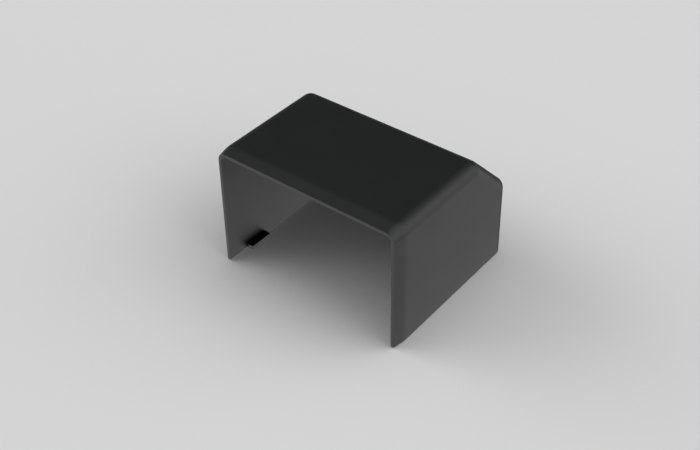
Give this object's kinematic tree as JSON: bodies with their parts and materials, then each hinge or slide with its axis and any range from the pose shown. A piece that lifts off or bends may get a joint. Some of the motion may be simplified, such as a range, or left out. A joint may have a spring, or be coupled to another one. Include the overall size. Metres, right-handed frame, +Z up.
{
  "type": "profile end cap",
  "caption": "Moulded black hood with an open mouth and underside, a sloped rear corner, a tapered lip and snap tabs, for closing the end of a surface-mounted profile.",
  "frame": {"origin": "middle of the footprint, on the plane of the bottom rim", "axes": "+Z up, away from the surface that the cap stands on; -Y out of the open mouth, towards the profile; X across the width"},
  "size_m": [0.06, 0.0515, 0.038],
  "materials": {
    "black_plastic": "fine satin, as moulded"
  },
  "bodies": {
    "root": {"end_cap": "black_plastic"}
  },
  "joints": []
}
